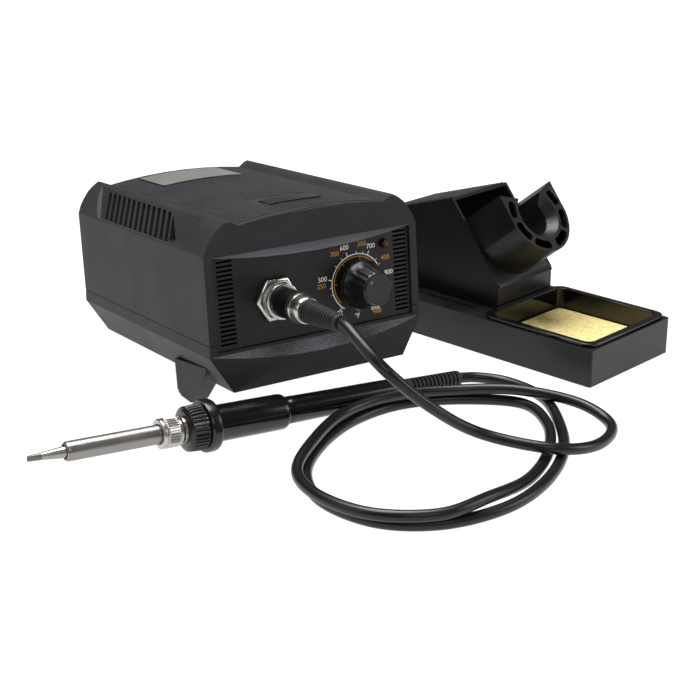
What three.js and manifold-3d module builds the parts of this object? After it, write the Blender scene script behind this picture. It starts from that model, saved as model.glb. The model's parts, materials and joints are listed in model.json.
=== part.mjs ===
// Soldering iron station: a control unit on raised front legs, its soldering iron and cord,
// and a separate iron stand with a cleaning sponge. Millimetres, +Z up, fronts facing -Y.

import * as THREE from 'three';
import { ConvexGeometry } from 'three/addons/geometries/ConvexGeometry.js';
import { mergeVertices } from 'three/addons/utils/BufferGeometryUtils.js';
import Module from 'manifold-3d';

const wasm = await Module();
wasm.setup();

// ---- driving dimensions ----

const GAP = 0.3;                    // clearance between touching pieces
const ORIGIN = [17.62, 53.48, 0];   // middle of the footprint, in the control unit's frame

const UNIT = { tilt: -5.356, lift: 16.82, depth: 154, seam: 25, wall: 2.2 };
const PANEL = { halfWidth: 56, low: 20.9, high: 66.5, recess: 1.5, thick: 2 };
const KNOB = { x: 24.4, z: 42.3, skirt: 12.5, face: 7.6, reach: 18.7 };
const SOCKET = { x: -22.5, z: 42.2, thread: 8.8, bore: 7.2, hexCorner: 11.8 };
const LED = { x: 40.8, z: 59.9, radius: 2.2 };
const LEG = { outer: 55.3, inner: 46 };
const VENT = {
  slots: 13, pitch: 6.2, firstY: 125, width: 3.3, lean: 0.85, low: [59.2, 70.2], high: [50, 81.8],
};
const LOUVRE = {
  slots: 19, pitch: 2.25, firstZ: 23.6, height: 1.1, left: [-53.2, -44.6], right: [46.6, 54.4],
};
const LIP = { half: 59.5, top: 19.5, drop: 5.5, forward: 6 };
const BROW = { half: 56, top: 67.5, drop: 3.8, forward: 3.5 };

const STAND = { x: 127.28, y: -56.44, turn: 14.353, width: 72.3, depth: 170, height: 21, wall: 2.2 };
const TRAY = { x0: 2, x1: 72, y0: 1.5, y1: 74.5, rim: 23, floor: 4 };
const HOUSING = { x0: 17.8, x1: 66.4, wall: 1.8, front: 75.65, rear: 162 };
const BARREL = {
  centre: [42.14, 68.73, 72.13], pitch: 38.15, radius: 22.8, bore: 10.7, slot: 9.4, length: 46,
};

const IRON = { tip: [-161.73, -20.94, 17.7], tail: [72.75, -17.0, 4.6] };
const CORD = { radius: 2.75, sides: 10, steps: 80 };

// Route of the iron's cord, from the plug's boot to the iron's strain relief.
const CORD_ROUTE = [
  [-22.5, -56.3, 64.5], [-22.5, -61, 64.1], [-22.2, -71, 60.2], [-18.3, -85.3, 51.1],
  [1.5, -92.5, 31.6], [27.3, -96.5, 14], [52.6, -120.1, 9.3], [77.9, -119.4, 4.9],
  [102, -101.5, 3], [100.9, -81.9, 6.6], [80.9, -56, 9.7], [56, -37.7, 8.8],
  [24, -29.1, 9.7], [-6.1, -33.2, 9.3], [-34.7, -52, 9], [-57.7, -75.3, 7.5],
  [-62.6, -101.8, 8.1], [-53, -129.4, 8.7], [-29, -145.2, 8.9], [-2.7, -142, 8.2],
  [30.8, -128.5, 3.2], [56, -110.6, 3.1], [76.6, -84.2, 3], [82.3, -59.1, 3],
  [61.5, -38.9, 3], [31.5, -27.3, 3], [1.5, -31, 3], [-27.9, -47.4, 3],
  [-50.7, -71.3, 3], [-58.7, -98.1, 3], [-49.3, -127.3, 3], [-27.4, -142.9, 3],
  [4.6, -145.6, 3], [33.8, -135.4, 3], [62.6, -113.7, 3], [82.7, -85.9, 3],
  [95.8, -55.5, 3], [92.6, -30.2, 3.1], [81.8, -19.4, 3.9], [73.6, -17, 4.6],
];

// ---- materials ----

const look = (color, roughness, metalness) => ({ color, roughness, metalness });
const CASE = look('#414041', 0.62, 0);
const PANEL_BLACK = look('#2b292b', 0.55, 0);
const GLOSS_BLACK = look('#1b1a1b', 0.2, 0);
const MATT_BLACK = look('#28272a', 0.5, 0);
const RUBBER = look('#202022', 0.85, 0);
const CHROME = look('#b8b6b2', 0.18, 1);
const STEEL = look('#a49e99', 0.35, 1);
const IRON_PLATE = look('#77736f', 0.5, 1);
const BRASS = look('#c0a060', 0.35, 1);
const CERAMIC = look('#e6e2d8', 0.6, 0);
const COPPER = look('#b87445', 0.5, 0.6);
const BOARD = look('#1f5a35', 0.5, 0);
const GREY_LABEL = look('#918e87', 0.5, 0);
const RED_LENS = look('#42231f', 0.2, 0);
const SPONGE = look('#d7c588', 0.95, 0);

// ---- geometry helpers ----

// Merges a geometry's shared vertices, drops collapsed triangles and turns its faces outward.
function welded(geometry) {
  const bare = geometry.clone();
  bare.deleteAttribute('normal');
  bare.deleteAttribute('uv');
  const merged = mergeVertices(bare, 1e-4);
  const at = merged.attributes.position;
  const [a, b, c] = [new THREE.Vector3(), new THREE.Vector3(), new THREE.Vector3()];
  const kept = [];
  let volume = 0;
  for (let i = 0; i < merged.index.count; i += 3) {
    const [p, q, r] = [0, 1, 2].map((k) => merged.index.getX(i + k));
    if (p === q || q === r || r === p) continue;
    kept.push(p, q, r);
    volume += a.fromBufferAttribute(at, p).dot(
      b.fromBufferAttribute(at, q).cross(c.fromBufferAttribute(at, r)));
  }
  merged.setIndex(volume < 0 ? kept.reverse() : kept);
  return merged;
}

function solid(geometry) {
  const merged = welded(geometry);
  return new wasm.Manifold(new wasm.Mesh({
    numProp: 3,
    vertProperties: new Float32Array(merged.attributes.position.array),
    triVerts: new Uint32Array(merged.index.array),
  }));
}

function geometryOf(body) {
  const mesh = body.getMesh();
  const geometry = new THREE.BufferGeometry();
  geometry.setAttribute('position', new THREE.BufferAttribute(mesh.vertProperties, 3));
  geometry.setIndex(new THREE.BufferAttribute(mesh.triVerts, 1));
  geometry.computeVertexNormals();
  return geometry;
}

function piece(name, shape, material) {
  const geometry = shape instanceof THREE.BufferGeometry ? welded(shape) : geometryOf(shape);
  const mesh = new THREE.Mesh(geometry, new THREE.MeshStandardMaterial(material));
  mesh.name = name;
  return mesh;
}

function block([x0, x1], [y0, y1], [z0, z1]) {
  const box = new THREE.BoxGeometry(x1 - x0, y1 - y0, z1 - z0);
  return box.translate((x0 + x1) / 2, (y0 + y1) / 2, (z0 + z1) / 2);
}

const outline = (points) => new THREE.Shape(points.map(([u, v]) => new THREE.Vector2(u, v)));
const extruded = (points, depth) =>
  new THREE.ExtrudeGeometry(outline(points), { depth, bevelEnabled: false });

// Prisms whose outline is drawn in (y, z), (x, z) or (x, y).
function prismX(points, x0, x1) {
  const turn = new THREE.Matrix4().makeBasis(
    new THREE.Vector3(0, 1, 0), new THREE.Vector3(0, 0, 1), new THREE.Vector3(1, 0, 0));
  return extruded(points, x1 - x0).applyMatrix4(turn).translate(x0, 0, 0);
}

function prismY(points, y0, y1) {
  return extruded(points, y1 - y0).rotateX(Math.PI / 2).translate(0, y1, 0);
}

function prismZ(points, z0, z1) {
  return extruded(points, z1 - z0).translate(0, 0, z0);
}

// A turned piece on the local Y axis, from (radius, distance) pairs.
function turned(profile, segments = 28) {
  return new THREE.LatheGeometry(profile.map(([r, t]) => new THREE.Vector2(r, t)), segments);
}

function rod(radius, t0, t1, segments = 24) {
  return turned([[0, t0], [radius, t0], [radius, t1], [0, t1]], segments);
}

function tube(outer, inner, t0, t1, segments = 28) {
  return turned([[inner, t0], [outer, t0], [outer, t1], [inner, t1], [inner, t0]], segments);
}

function arcPoints(cu, cv, radius, from, to, steps) {
  const points = [];
  for (let i = 0; i <= steps; i += 1) {
    const angle = THREE.MathUtils.degToRad(from + ((to - from) * i) / steps);
    points.push([cu + radius * Math.cos(angle), cv + radius * Math.sin(angle)]);
  }
  return points;
}

function roundedRect([x0, x1], [y0, y1], radius, steps = 4) {
  return [
    ...arcPoints(x1 - radius, y0 + radius, radius, -90, 0, steps),
    ...arcPoints(x1 - radius, y1 - radius, radius, 0, 90, steps),
    ...arcPoints(x0 + radius, y1 - radius, radius, 90, 180, steps),
    ...arcPoints(x0 + radius, y0 + radius, radius, 180, 270, steps),
  ];
}

const mirrored = (points) => points.map(([u, v]) => [-u, v]).reverse();
const joined = (first, ...rest) => rest.reduce((sum, item) => sum.add(solid(item)), solid(first));
const without = (body, ...tools) => tools.reduce((left, tool) => left.subtract(solid(tool)), body);

// ---- control unit ----

const topHeight = (x) => 84.3 - 3.1 * (x / 41) ** 2;

// Right half of the case's section, from the bottom to the foot of the ridge beside the arched top.
const CASE_HALF = [
  [49, 0], [60.5, 19], [60.2, 25], [59.9, 68.5], [58, 73], [56, 76], [53.2, 79.6], [50, 82.2],
  [46.6, 84.3], [44.5, 83.6], [41, topHeight(41)],
];
const TOP_ARCH = [30, 18, 6, -6, -18, -30].map((x) => [x, topHeight(x)]);
const CASE_SECTION = [...CASE_HALF, ...TOP_ARCH, ...mirrored(CASE_HALF)];

const INNER_HALF = [
  [47.6, UNIT.wall], [58.1, 19.6], [57.7, 65.5], [54.2, 70], [46.8, 78.6], [44.6, 80], [41, 78.9],
];
const INNER_SECTION = [...INNER_HALF, [20, 81.2], [-20, 81.2], ...mirrored(INNER_HALF)];

// Screw bosses near the case's four corners.
const SCREW_SPOTS = [[-42, 22], [42, 22], [-42, 132], [42, 132]];
const upright = (shape, x, y) => shape.clone().rotateX(Math.PI / 2).translate(x, y, 0);

// The bowed front edge of the lip or the brow: it meets a straight line at both ends and bulges
// forward and down in the middle.
function bowedEdge({ half, top, drop, forward }) {
  const shares = [-1, -0.85, -0.7, -0.5, -0.25, 0, 0.25, 0.5, 0.7, 0.85, 1];
  return shares.map((s) => [s * half, -forward * (1 - s * s), top - drop * (1 - s * s)]);
}

const hull = (points) => new ConvexGeometry(points.map((point) => new THREE.Vector3(...point)));

function lowerShell() {
  const block0 = solid(prismY(CASE_SECTION, 0, UNIT.depth));
  const below = solid(block([-70, 70], [-10, 170], [-1, UNIT.seam - GAP / 2]));
  const hollow = solid(prismY(INNER_SECTION, UNIT.wall, UNIT.depth - UNIT.wall));
  const lip = solid(hull([...bowedEdge(LIP), [-LIP.half, 2, LIP.top], [LIP.half, 2, LIP.top],
    [-49.5, 0, 0.05], [49.5, 0, 0.05], [-49.5, 2, 0.05], [49.5, 2, 0.05]]));
  let shell = block0.intersect(below).subtract(hollow);
  shell = shell.add(lip.intersect(solid(prismY(CASE_SECTION, -8, 8))));
  for (const side of [-1, 1]) {
    const leg = [[16.3, 9.6], [17.9, 6.2], [20.7, 2.9], [27.4, -3.9], [34.2, -10.3],
      [36.6, -12.41], [50, -11.15], [52, -8.9], [52.4, 7]];
    const [x0, x1] = side < 0 ? [-LEG.outer, -LEG.inner] : [LEG.inner, LEG.outer];
    shell = shell.add(solid(prismX(leg, x0, x1)));
  }
  for (const [x, y] of SCREW_SPOTS) {
    shell = shell.add(solid(upright(rod(4.6, 1, 24.6), x, y)));
    shell = shell.subtract(solid(upright(rod(3.6, -1, 3.4), x, y)));
    shell = shell.subtract(solid(upright(rod(1.9, -1, 26), x, y)));
  }
  const panelSeat = block([-PANEL.halfWidth, PANEL.halfWidth], [-10, 6], [PANEL.low, 40]);
  const rearSeat = block([-45, 45], [UNIT.depth - 6, UNIT.depth + 4], [24.2, 40]);
  return without(shell, panelSeat, rearSeat);
}

// The right-hand shoulder vent: a shallow recess with slanted ends, slots that lean forward as they
// run down it, and a three-cornered opening ahead of the last one.
function ventCuts() {
  const [[lowX, lowZ], [highX, highZ]] = [VENT.low, VENT.high];
  const facet = solid(prismY([[58.1, 69.2], [64, 69.2], [64, 86], [49.4, 86], [48.9, 82.6]], 10, 150));
  const ends = [[17, 85], [20, 82.5], [35, 69.5], [36, 68],
    [126, 68], [127.5, 69.5], [142, 82.5], [144.5, 85]];
  const corner = prismX([[34.6, 70.4], [42.4, 70.4], [50.6, 80.6]], 44, 66);
  const cuts = [facet.intersect(solid(prismX(ends, 40, 66))), solid(corner)];
  const slot = [[lowX - 3.2, lowZ - 2.4], [lowX + 2.4, lowZ + 1.8], [highX + 2.4, highZ + 1.8],
    [highX - 3.2, highZ - 2.4]];
  const lean = new THREE.Matrix4().set(1, 0, 0, 0, 0, 1, VENT.lean, -76 * VENT.lean, 0, 0, 1, 0, 0, 0, 0, 1);
  for (let i = 0; i < VENT.slots; i += 1) {
    const y = VENT.firstY - i * VENT.pitch;
    cuts.push(solid(prismY(slot, y - VENT.width / 2, y + VENT.width / 2).applyMatrix4(lean)));
  }
  return cuts;
}

function upperShell() {
  const above = solid(block([-70, 70], [-10, 170], [UNIT.seam + GAP / 2, 100]));
  const hollow = solid(prismY(INNER_SECTION, -10, UNIT.depth - UNIT.wall));
  const brow = solid(prismX(
    [[2, PANEL.high], [0, PANEL.high + 0.4], [0, BROW.top], [-0.2, 69.5], [0, 75], [-0.3, 80],
      [-1, 83.6], [2, 84.4]], -57.5, 57.5));
  const browLens = solid(hull([...bowedEdge(BROW), [-BROW.half, 1.2, BROW.top], [BROW.half, 1.2, BROW.top],
    ...bowedEdge(BROW).map(([x, , z]) => [x, 1.2, z - 0.2])]));
  let shell = solid(prismY(CASE_SECTION, 0, UNIT.depth)).intersect(above).subtract(hollow);
  shell = shell.add(brow.intersect(solid(prismY(CASE_SECTION, -8, 8)))).add(browLens);
  for (const side of [-1, 1]) {
    const x = side < 0 ? [-58.5, -PANEL.halfWidth] : [PANEL.halfWidth, 58.5];
    shell = shell.add(solid(block(x, [0, 4], [UNIT.seam + GAP / 2, 68])));
  }
  for (const cut of ventCuts()) {
    shell = shell.subtract(cut).subtract(cut.mirror([1, 0, 0]));
  }
  for (const [x, y] of SCREW_SPOTS) {
    const boss = solid(upright(rod(4.2, UNIT.seam + GAP, 80), x, y));
    shell = shell.add(boss).subtract(solid(upright(rod(1.9, 20, 44), x, y)));
  }
  const rearSeat = block([-45, 45], [UNIT.depth - 6, UNIT.depth + 4], [20, 62.3]);
  return without(shell, rearSeat);
}

function frontPanel() {
  const y = [PANEL.recess, PANEL.recess + PANEL.thick];
  const half = PANEL.halfWidth - GAP;
  const plate = solid(block([-half, half], y, [PANEL.low + GAP, PANEL.high - GAP]));
  const hole = (radius, x, z) => rod(radius, -2, 6).translate(x, 0, z);
  const holes = [hole(3.8, KNOB.x, KNOB.z), hole(SOCKET.thread + GAP, SOCKET.x, SOCKET.z)];
  holes.push(hole(LED.radius + GAP, LED.x, LED.z));
  for (let i = 0; i < LOUVRE.slots; i += 1) {
    const z = LOUVRE.firstZ + i * LOUVRE.pitch;
    for (const x of [LOUVRE.left, LOUVRE.right]) {
      holes.push(block(x, [-2, 6], [z, z + LOUVRE.height]));
    }
  }
  return without(plate, ...holes);
}

const INLET = { x: [-39, -11], z: [27, 59], y: UNIT.depth };
const SWITCH = { x: [13, 37], z: [30, 60], y: UNIT.depth };
const inset = ([low, high], by) => [low + by, high - by];

function rearPanel() {
  const plate = solid(block([-44.7, 44.7], [151.5, 153.7], [24.5, 62]));
  const behind = [140, 160];
  return without(plate, block(inset(INLET.x, 1.4), behind, inset(INLET.z, 1.4)),
    block(inset(SWITCH.x, 1.4), behind, inset(SWITCH.z, 1.4)));
}

function mainsInlet() {
  const body = joined(block(INLET.x, [INLET.y, 157], INLET.z),
    block(inset(INLET.x, 1.7), [134, 155], inset(INLET.z, 1.7)));
  const socketHole = block([-36.8, -13.2], [141, 160], [39.5, 56.5]);
  const drawerHole = block([-36, -14], [142, 160], [29.8, 37.2]);
  let inlet = without(body, socketHole, drawerHole);
  for (const [x, z] of [[-32, 46], [-25, 50], [-18, 46]]) {
    inlet = inlet.add(solid(block([x - 1, x + 1], [140, 153], [z - 2, z + 2])));
  }
  return inlet;
}

function switchFrame() {
  const body = joined(block(SWITCH.x, [SWITCH.y, 156], SWITCH.z),
    block(inset(SWITCH.x, 1.7), [136, 155], inset(SWITCH.z, 1.7)));
  return without(body, block(inset(SWITCH.x, 3), [144, 160], inset(SWITCH.z, 3)));
}

// Rocker: a shallow V with one end proud, turning on a pin across the frame.
function powerRocker() {
  const profile = [[149, 45], [151, 38], [154, 33.8], [155.8, 34], [156.2, 45], [158.6, 55.6],
    [156.6, 56.2], [152, 53]];
  return prismX(profile, 17, 33);
}

function curvedLabel(halfWidth, y0, y1, thick) {
  const xs = [-1, -0.6, -0.2, 0.2, 0.6, 1].map((s) => s * halfWidth);
  const top = xs.map((x) => [x, topHeight(x) + GAP + thick]);
  const under = xs.map((x) => [x, topHeight(x) + GAP]).reverse();
  return prismY([...under, ...top], y0, y1);
}

function transformer() {
  const core = solid(block([-28, 28], [74, 98], [6, 54]));
  const windows = [block([-19, -9], [70, 102], [14, 46]), block([9, 19], [70, 102], [14, 46])];
  const coil = solid(block([-18.6, 18.6], [66, 106], [14.4, 45.6]));
  const limb = block([-9.4, 9.4], [73.6, 98.4], [0, 60]);
  return { core: without(core, ...windows), coil: without(coil, limb) };
}

function controlUnit() {
  const unit = new THREE.Group();
  unit.position.set(0, 0, UNIT.lift);
  unit.rotation.x = THREE.MathUtils.degToRad(UNIT.tilt);
  const { core, coil } = transformer();
  unit.add(
    piece('unit_lower_shell', lowerShell(), CASE),
    piece('unit_upper_shell', upperShell(), CASE),
    piece('unit_front_panel', frontPanel(), PANEL_BLACK),
    piece('unit_rear_panel', rearPanel(), PANEL_BLACK),
    piece('mains_inlet', mainsInlet(), MATT_BLACK),
    piece('fuse_drawer', block([-35.7, -14.3], [142.4, 157.6], [30.1, 36.9]), MATT_BLACK),
    piece('power_switch_frame', switchFrame(), MATT_BLACK),
    piece('power_rocker', powerRocker(), GLOSS_BLACK),
    piece('rating_label', curvedLabel(23.8, 115, 147, 0.4).translate(-1.2, 0, 0), GREY_LABEL),
    piece('top_badge', curvedLabel(14.5, 20, 32, 0.5).translate(2.5, 0, 0), GLOSS_BLACK),
    piece('circuit_board', block([-36, 36], [18, 19.6], [28, 62]), BOARD),
    piece('transformer_core', core, IRON_PLATE),
    piece('transformer_coil', coil, COPPER),
  );
  SCREW_SPOTS.forEach(([x, y], i) => {
    unit.add(piece(`case_screw_${i + 1}`, upright(screwShape(), x, y), STEEL));
  });
  for (const [name, x] of [['left', -33], ['right', 33]]) {
    const pad = upright(rod(6, -2.62, -GAP, 20), x, 145);
    unit.add(piece(`rear_pad_${name}`, pad, RUBBER));
  }
  unit.add(panelControls(), socketPieces());
  return unit;
}

function screwShape() {
  return turned([[0, 0.8], [3.1, 0.8], [3.1, 3.1], [1.5, 3.1], [1.5, 40], [0, 40]], 12);
}

// Knob, potentiometer and lamp: local +Y of this group points out of the panel.
function panelControls() {
  const group = new THREE.Group();
  const knobProfile = [[3.4, 3], [KNOB.skirt - 0.6, 3], [KNOB.skirt, 3.8], [KNOB.skirt - 0.3, 5.6],
    [10.6, 6.8], [9.2, 12], [8.2, KNOB.reach - 1], [KNOB.face, KNOB.reach], [0, KNOB.reach],
    [0, 14], [3.4, 14], [3.4, 3]];
  const axis = new THREE.Group();
  axis.position.set(KNOB.x, 0, KNOB.z);
  axis.rotation.z = Math.PI;
  axis.add(
    piece('temperature_knob', turned(knobProfile, 32), GLOSS_BLACK),
    piece('potentiometer_shaft', rod(3, -4, 13.6, 16), STEEL),
    piece('potentiometer_body', without(solid(rod(8, -13, -4)), rod(3.4, -6, 0, 16)), STEEL),
  );
  const lamp = new THREE.Group();
  lamp.position.set(LED.x, 0, LED.z);
  lamp.rotation.z = Math.PI;
  const dome = [[0, -8], [LED.radius, -8], [LED.radius, 0], [1.7, 1.3], [0.9, 2], [0, 2.2]];
  lamp.add(piece('indicator_lens', turned(dome, 16), RED_LENS));
  group.add(axis, lamp);
  return group;
}

// Panel socket, locked by a hexagonal nut: local +Y points out of the panel.
function socketPieces() {
  const group = new THREE.Group();
  group.position.set(SOCKET.x, 0, SOCKET.z);
  group.rotation.z = Math.PI;
  const flange = SOCKET.thread + 2;
  const shell = [[SOCKET.bore, -9], [SOCKET.thread, -9], [SOCKET.thread, -8], [flange, -8],
    [flange, -5.2], [flange, -3.8], [SOCKET.thread, -3.8], [SOCKET.thread, 5], [SOCKET.bore, 5],
    [SOCKET.bore, -9]];
  const hexagon = arcPoints(0, 0, SOCKET.hexCorner, 0, 300, 5);
  const nut = without(solid(prismY(hexagon, -1.2, 2)), rod(SOCKET.thread + GAP, -4, 4, 28));
  let insert = solid(rod(SOCKET.bore - GAP, -12, -6));
  for (let i = 0; i < 5; i += 1) {
    const angle = (i * 2 * Math.PI) / 5;
    insert = insert.add(solid(rod(0.8, -13, 1.5, 8).translate(4 * Math.cos(angle), 0, 4 * Math.sin(angle))));
  }
  group.add(
    piece('socket_shell', turned(shell), STEEL),
    piece('socket_nut', nut, CHROME),
    piece('socket_insert', insert, MATT_BLACK),
  );
  return group;
}

// Plug of the iron's cord, in the control unit's tilted frame.
function plugPieces() {
  const unitFrame = new THREE.Group();
  unitFrame.position.set(0, 0, UNIT.lift);
  unitFrame.rotation.x = THREE.MathUtils.degToRad(UNIT.tilt);
  const group = new THREE.Group();
  group.position.set(SOCKET.x, 0, SOCKET.z);
  group.rotation.z = Math.PI;
  const spigot = SOCKET.bore - GAP;
  const body = [[0, 6.2], [5.6, 6.2], [5.6, 2.2], [spigot - 0.2, 2.2], [spigot - 0.2, 7.4],
    [7.6, 7.4], [6.8, 20.8], [0, 20.8]];
  const boot = [[0, 31.2], [5.9, 31.2], [5.9, 34], [3.9, 59.7], [0, 59.7]];
  group.add(
    piece('plug_coupling_ring', tube(9.05, SOCKET.bore + 0.1, 5.3, 7.1), CHROME),
    piece('plug_body', turned(body), MATT_BLACK),
    piece('plug_clamp_shell', turned([[0, 21.1], [7.4, 21.1], [7.4, 24], [6.2, 30.9], [0, 30.9]]), CHROME),
    piece('plug_boot', turned(boot, 20), RUBBER),
  );
  unitFrame.add(group);
  return unitFrame;
}

// ---- soldering iron: local +Y runs from the tip to the cord ----

function flutedNut(radius, depth, flutes, y0, y1, bore) {
  const points = [];
  for (let i = 0; i < flutes; i += 1) {
    const step = (2 * Math.PI) / flutes;
    for (const [share, r] of [[0, radius], [0.45, radius], [0.6, radius - depth], [0.85, radius - depth]]) {
      points.push([r * Math.cos((i + share) * step), r * Math.sin((i + share) * step)]);
    }
  }
  return without(solid(prismY(points, y0, y1)), rod(bore, y0 - 1, y1 + 1));
}

function chiselTip() {
  const profile = [[0, 0], [1.3, 0], [1.6, 6.4], [2.8, 18], [3.3, 22], [3.3, 44], [2.5, 44],
    [2.5, 30], [0, 30]];
  const wedge = (side) => prismX([[-1, side * 0.35], [-1, side * 6], [9, side * 6], [9, side * 1.9]], -6, 6);
  return without(solid(turned(profile, 20)), wedge(1), wedge(-1));
}

function solderingIron() {
  const iron = new THREE.Group();
  const [tip, tail] = [new THREE.Vector3(...IRON.tip), new THREE.Vector3(...IRON.tail)];
  iron.position.copy(tip);
  iron.quaternion.setFromUnitVectors(new THREE.Vector3(0, 1, 0), tail.clone().sub(tip).normalize());
  const end = tail.distanceTo(tip);
  const sleeve = [[3.6, 17.5], [4.2, 17.5], [4.6, 18.6], [4.6, 72.8], [3.6, 72.8], [3.6, 17.5]];
  const nut = [[4.95, 63], [6.4, 63], [6.8, 63.6], [6.8, 71.6], [7.4, 71.8], [7.4, 73.4], [4.95, 73.4],
    [4.95, 63]];
  const heater = [[0, 31], [2.1, 31], [2.1, 74.6], [4.8, 74.6], [4.8, 90], [0, 90]];
  const collar = [[5.2, 84.9], [11.9, 84.9], [12.6, 86], [12.6, 89.6], [11.4, 91], [5.2, 91], [5.2, 84.9]];
  const grip = [[6.1, 91.3], [8.75, 91.3], [8.75, 127.6], [8.2, 129.2], [6.1, 129.2], [6.1, 91.3]];
  const core = [[0, 91.3], [5.8, 91.3], [5.8, 129.5], [6.7, 129.6], [6.7, 134], [6.1, 199], [0, 199]];
  const relief = [[0, 199.3], [4.5, 199.3], [4.5, 202], [4.1, end - 0.3], [0, end - 0.3]];
  iron.add(
    piece('iron_tip', chiselTip(), IRON_PLATE),
    piece('iron_sleeve', turned(sleeve, 24), STEEL),
    piece('iron_sleeve_nut', turned(nut, 28), STEEL),
    piece('iron_heater', turned(heater, 16), CERAMIC),
    piece('iron_heater_bush', tube(6.6, 5.1, 74, 75.4, 20), BRASS),
    piece('iron_black_nut', flutedNut(10.6, 0.9, 24, 75.7, 84.6, 5.1), MATT_BLACK),
    piece('iron_collar', turned(collar, 28), MATT_BLACK),
    piece('iron_grip', turned(grip, 28), GLOSS_BLACK),
    piece('iron_handle', turned(core, 24), GLOSS_BLACK),
    piece('iron_strain_relief', turned(relief, 20), RUBBER),
  );
  return iron;
}

function ironCord() {
  const path = new THREE.CatmullRomCurve3(CORD_ROUTE.map((point) => new THREE.Vector3(...point)));
  const section = outline(arcPoints(0, 0, CORD.radius, 0, 360 - 360 / CORD.sides, CORD.sides - 1));
  const options = { steps: CORD.steps, extrudePath: path, bevelEnabled: false };
  return piece('iron_cord', new THREE.ExtrudeGeometry(section, options), RUBBER);
}

// ---- iron stand ----

const FOOT_SPOTS = {
  front_left: [7.5, 7.5], front_right: [64.8, 7.5], rear_left: [7.5, 162.5], rear_right: [64.8, 162.5],
};

function standBase() {
  const { width, depth, height, wall } = STAND;
  const outer = solid(prismZ(roundedRect([0, width], [0, depth], 1.2, 2), 0.8, height));
  const under = block([wall, width - wall], [wall, depth - wall], [-1, height - wall]);
  const trayHole = prismZ(roundedRect([4.1, 69.9], [3.6, 72.4], 6), 10, height + 2);
  const channel = prismZ(roundedRect([9.4, 12.6], [86, 164], 1.5), height - 0.9, height + 1);
  const seat = block([HOUSING.x0 + 4, HOUSING.x1 - 4], [HOUSING.front + 4, HOUSING.rear - 4], [10, 30]);
  let base = without(outer, under, trayHole, seat, channel);
  for (const [x, y] of Object.values(FOOT_SPOTS)) {
    base = base.add(solid(block([x - 6, x + 6], [y - 6, y + 6], [1.6, 3.6])));
  }
  return base;
}

function spongeTray() {
  const edge = roundedRect([TRAY.x0, TRAY.x1], [TRAY.y0, TRAY.y1], 6.5);
  const rim = solid(prismZ(edge, STAND.height + GAP, TRAY.rim));
  const bowl = solid(prismZ(roundedRect([4.4, 69.6], [3.9, 72.1], 5.8), TRAY.floor, TRAY.rim));
  const hollow = prismZ(roundedRect([5.9, 68.1], [5.4, 70.6], 4.6), TRAY.floor + 1.6, TRAY.rim + 2);
  return without(rim.add(bowl), hollow);
}

// The housing: side plates, a sloping cover over them and an open slanted front.
const HOUSING_SIDE = [[HOUSING.front, 21.3], [HOUSING.front, 35.1], [110.2, 77.9], [141.6, 67.9],
  [HOUSING.rear, 61.6], [HOUSING.rear, 21.3]];
const HOUSING_INSIDE = [[77.6, 20], [77.6, 35.4], [60, 40], [95, 84], [110.9, 75.6], [141, 65.9],
  [160, 60.2], [160, 20]];

const barrelAlong = new THREE.Matrix4();
const pitch = THREE.MathUtils.degToRad(BARREL.pitch);
barrelAlong.makeBasis(
  new THREE.Vector3(1, 0, 0),
  new THREE.Vector3(0, Math.sin(pitch), Math.cos(pitch)),
  new THREE.Vector3(0, -Math.cos(pitch), Math.sin(pitch)));
barrelAlong.setPosition(...BARREL.centre);

// A prism along the barrel's axis, drawn in its face plane; depths count inward from the face.
function barrelPrism(points, from, to) {
  return extruded(points, to - from).translate(0, 0, -to).applyMatrix4(barrelAlong);
}

function holderHousing() {
  const outer = solid(prismX(HOUSING_SIDE, HOUSING.x0, HOUSING.x1));
  const inside = prismX(HOUSING_INSIDE, HOUSING.x0 + HOUSING.wall, HOUSING.x1 - HOUSING.wall);
  const web = solid(prismX([[74.5, 33.6], [98, 62.6], [99.4, 61.5], [76.2, 32.6]],
    HOUSING.x0 + 0.5, HOUSING.x1 - 0.5));
  const reach = BARREL.radius + GAP;
  const around = [...arcPoints(0, 0, reach, 180, 360, 18), [reach, 40], [-reach, 40]];
  const passage = barrelPrism(around, -10, 80);
  const above = block([0, 80], [60, 110], [63, 90]);
  return without(outer, inside).add(without(web, passage, above));
}

// The outline of one pocket in the barrel's rim: a ring sector with rounded corners.
function pocket(from, to) {
  const at = (degrees, radius) => {
    const angle = THREE.MathUtils.degToRad(degrees);
    return [radius * Math.cos(angle), radius * Math.sin(angle)];
  };
  return [
    ...arcPoints(0, 0, 21.3, from + 4.6, to - 4.6, 4), at(to - 1.4, 20.7), at(to, 19.4),
    at(to, 18.2), at(to - 1.6, 17), ...arcPoints(0, 0, 16.5, to - 5, from + 5, 4),
    at(from + 1.6, 17), at(from, 18.2), at(from, 19.4), at(from + 1.4, 20.7),
  ];
}

function holderBarrel() {
  const arm = [[22.4, 4], [22.4, 15.8], [BARREL.slot, 11.4], [BARREL.slot, 5.11]];
  const around = arcPoints(0, 0, BARREL.radius, 190, 350, 16);
  const bore = arcPoints(0, 0, BARREL.bore, 28.5, -208.5, 20);
  const section = [...around, ...arm, ...bore.slice(1, -1), ...mirrored(arm)];
  let barrel = solid(barrelPrism(section, 0, BARREL.length));
  const funnel = new THREE.CylinderGeometry(14.7, BARREL.bore, 5.5, 32).rotateX(Math.PI / 2);
  funnel.translate(0, 0, -2.6).applyMatrix4(barrelAlong);
  barrel = barrel.subtract(solid(funnel));
  for (const [from, to] of [[4, 34], [-40, -4], [-83, -46]]) {
    const cell = pocket(from, to);
    barrel = without(barrel, barrelPrism(cell, -1, 22), barrelPrism(mirrored(cell), -1, 22));
  }
  return barrel;
}

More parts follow.
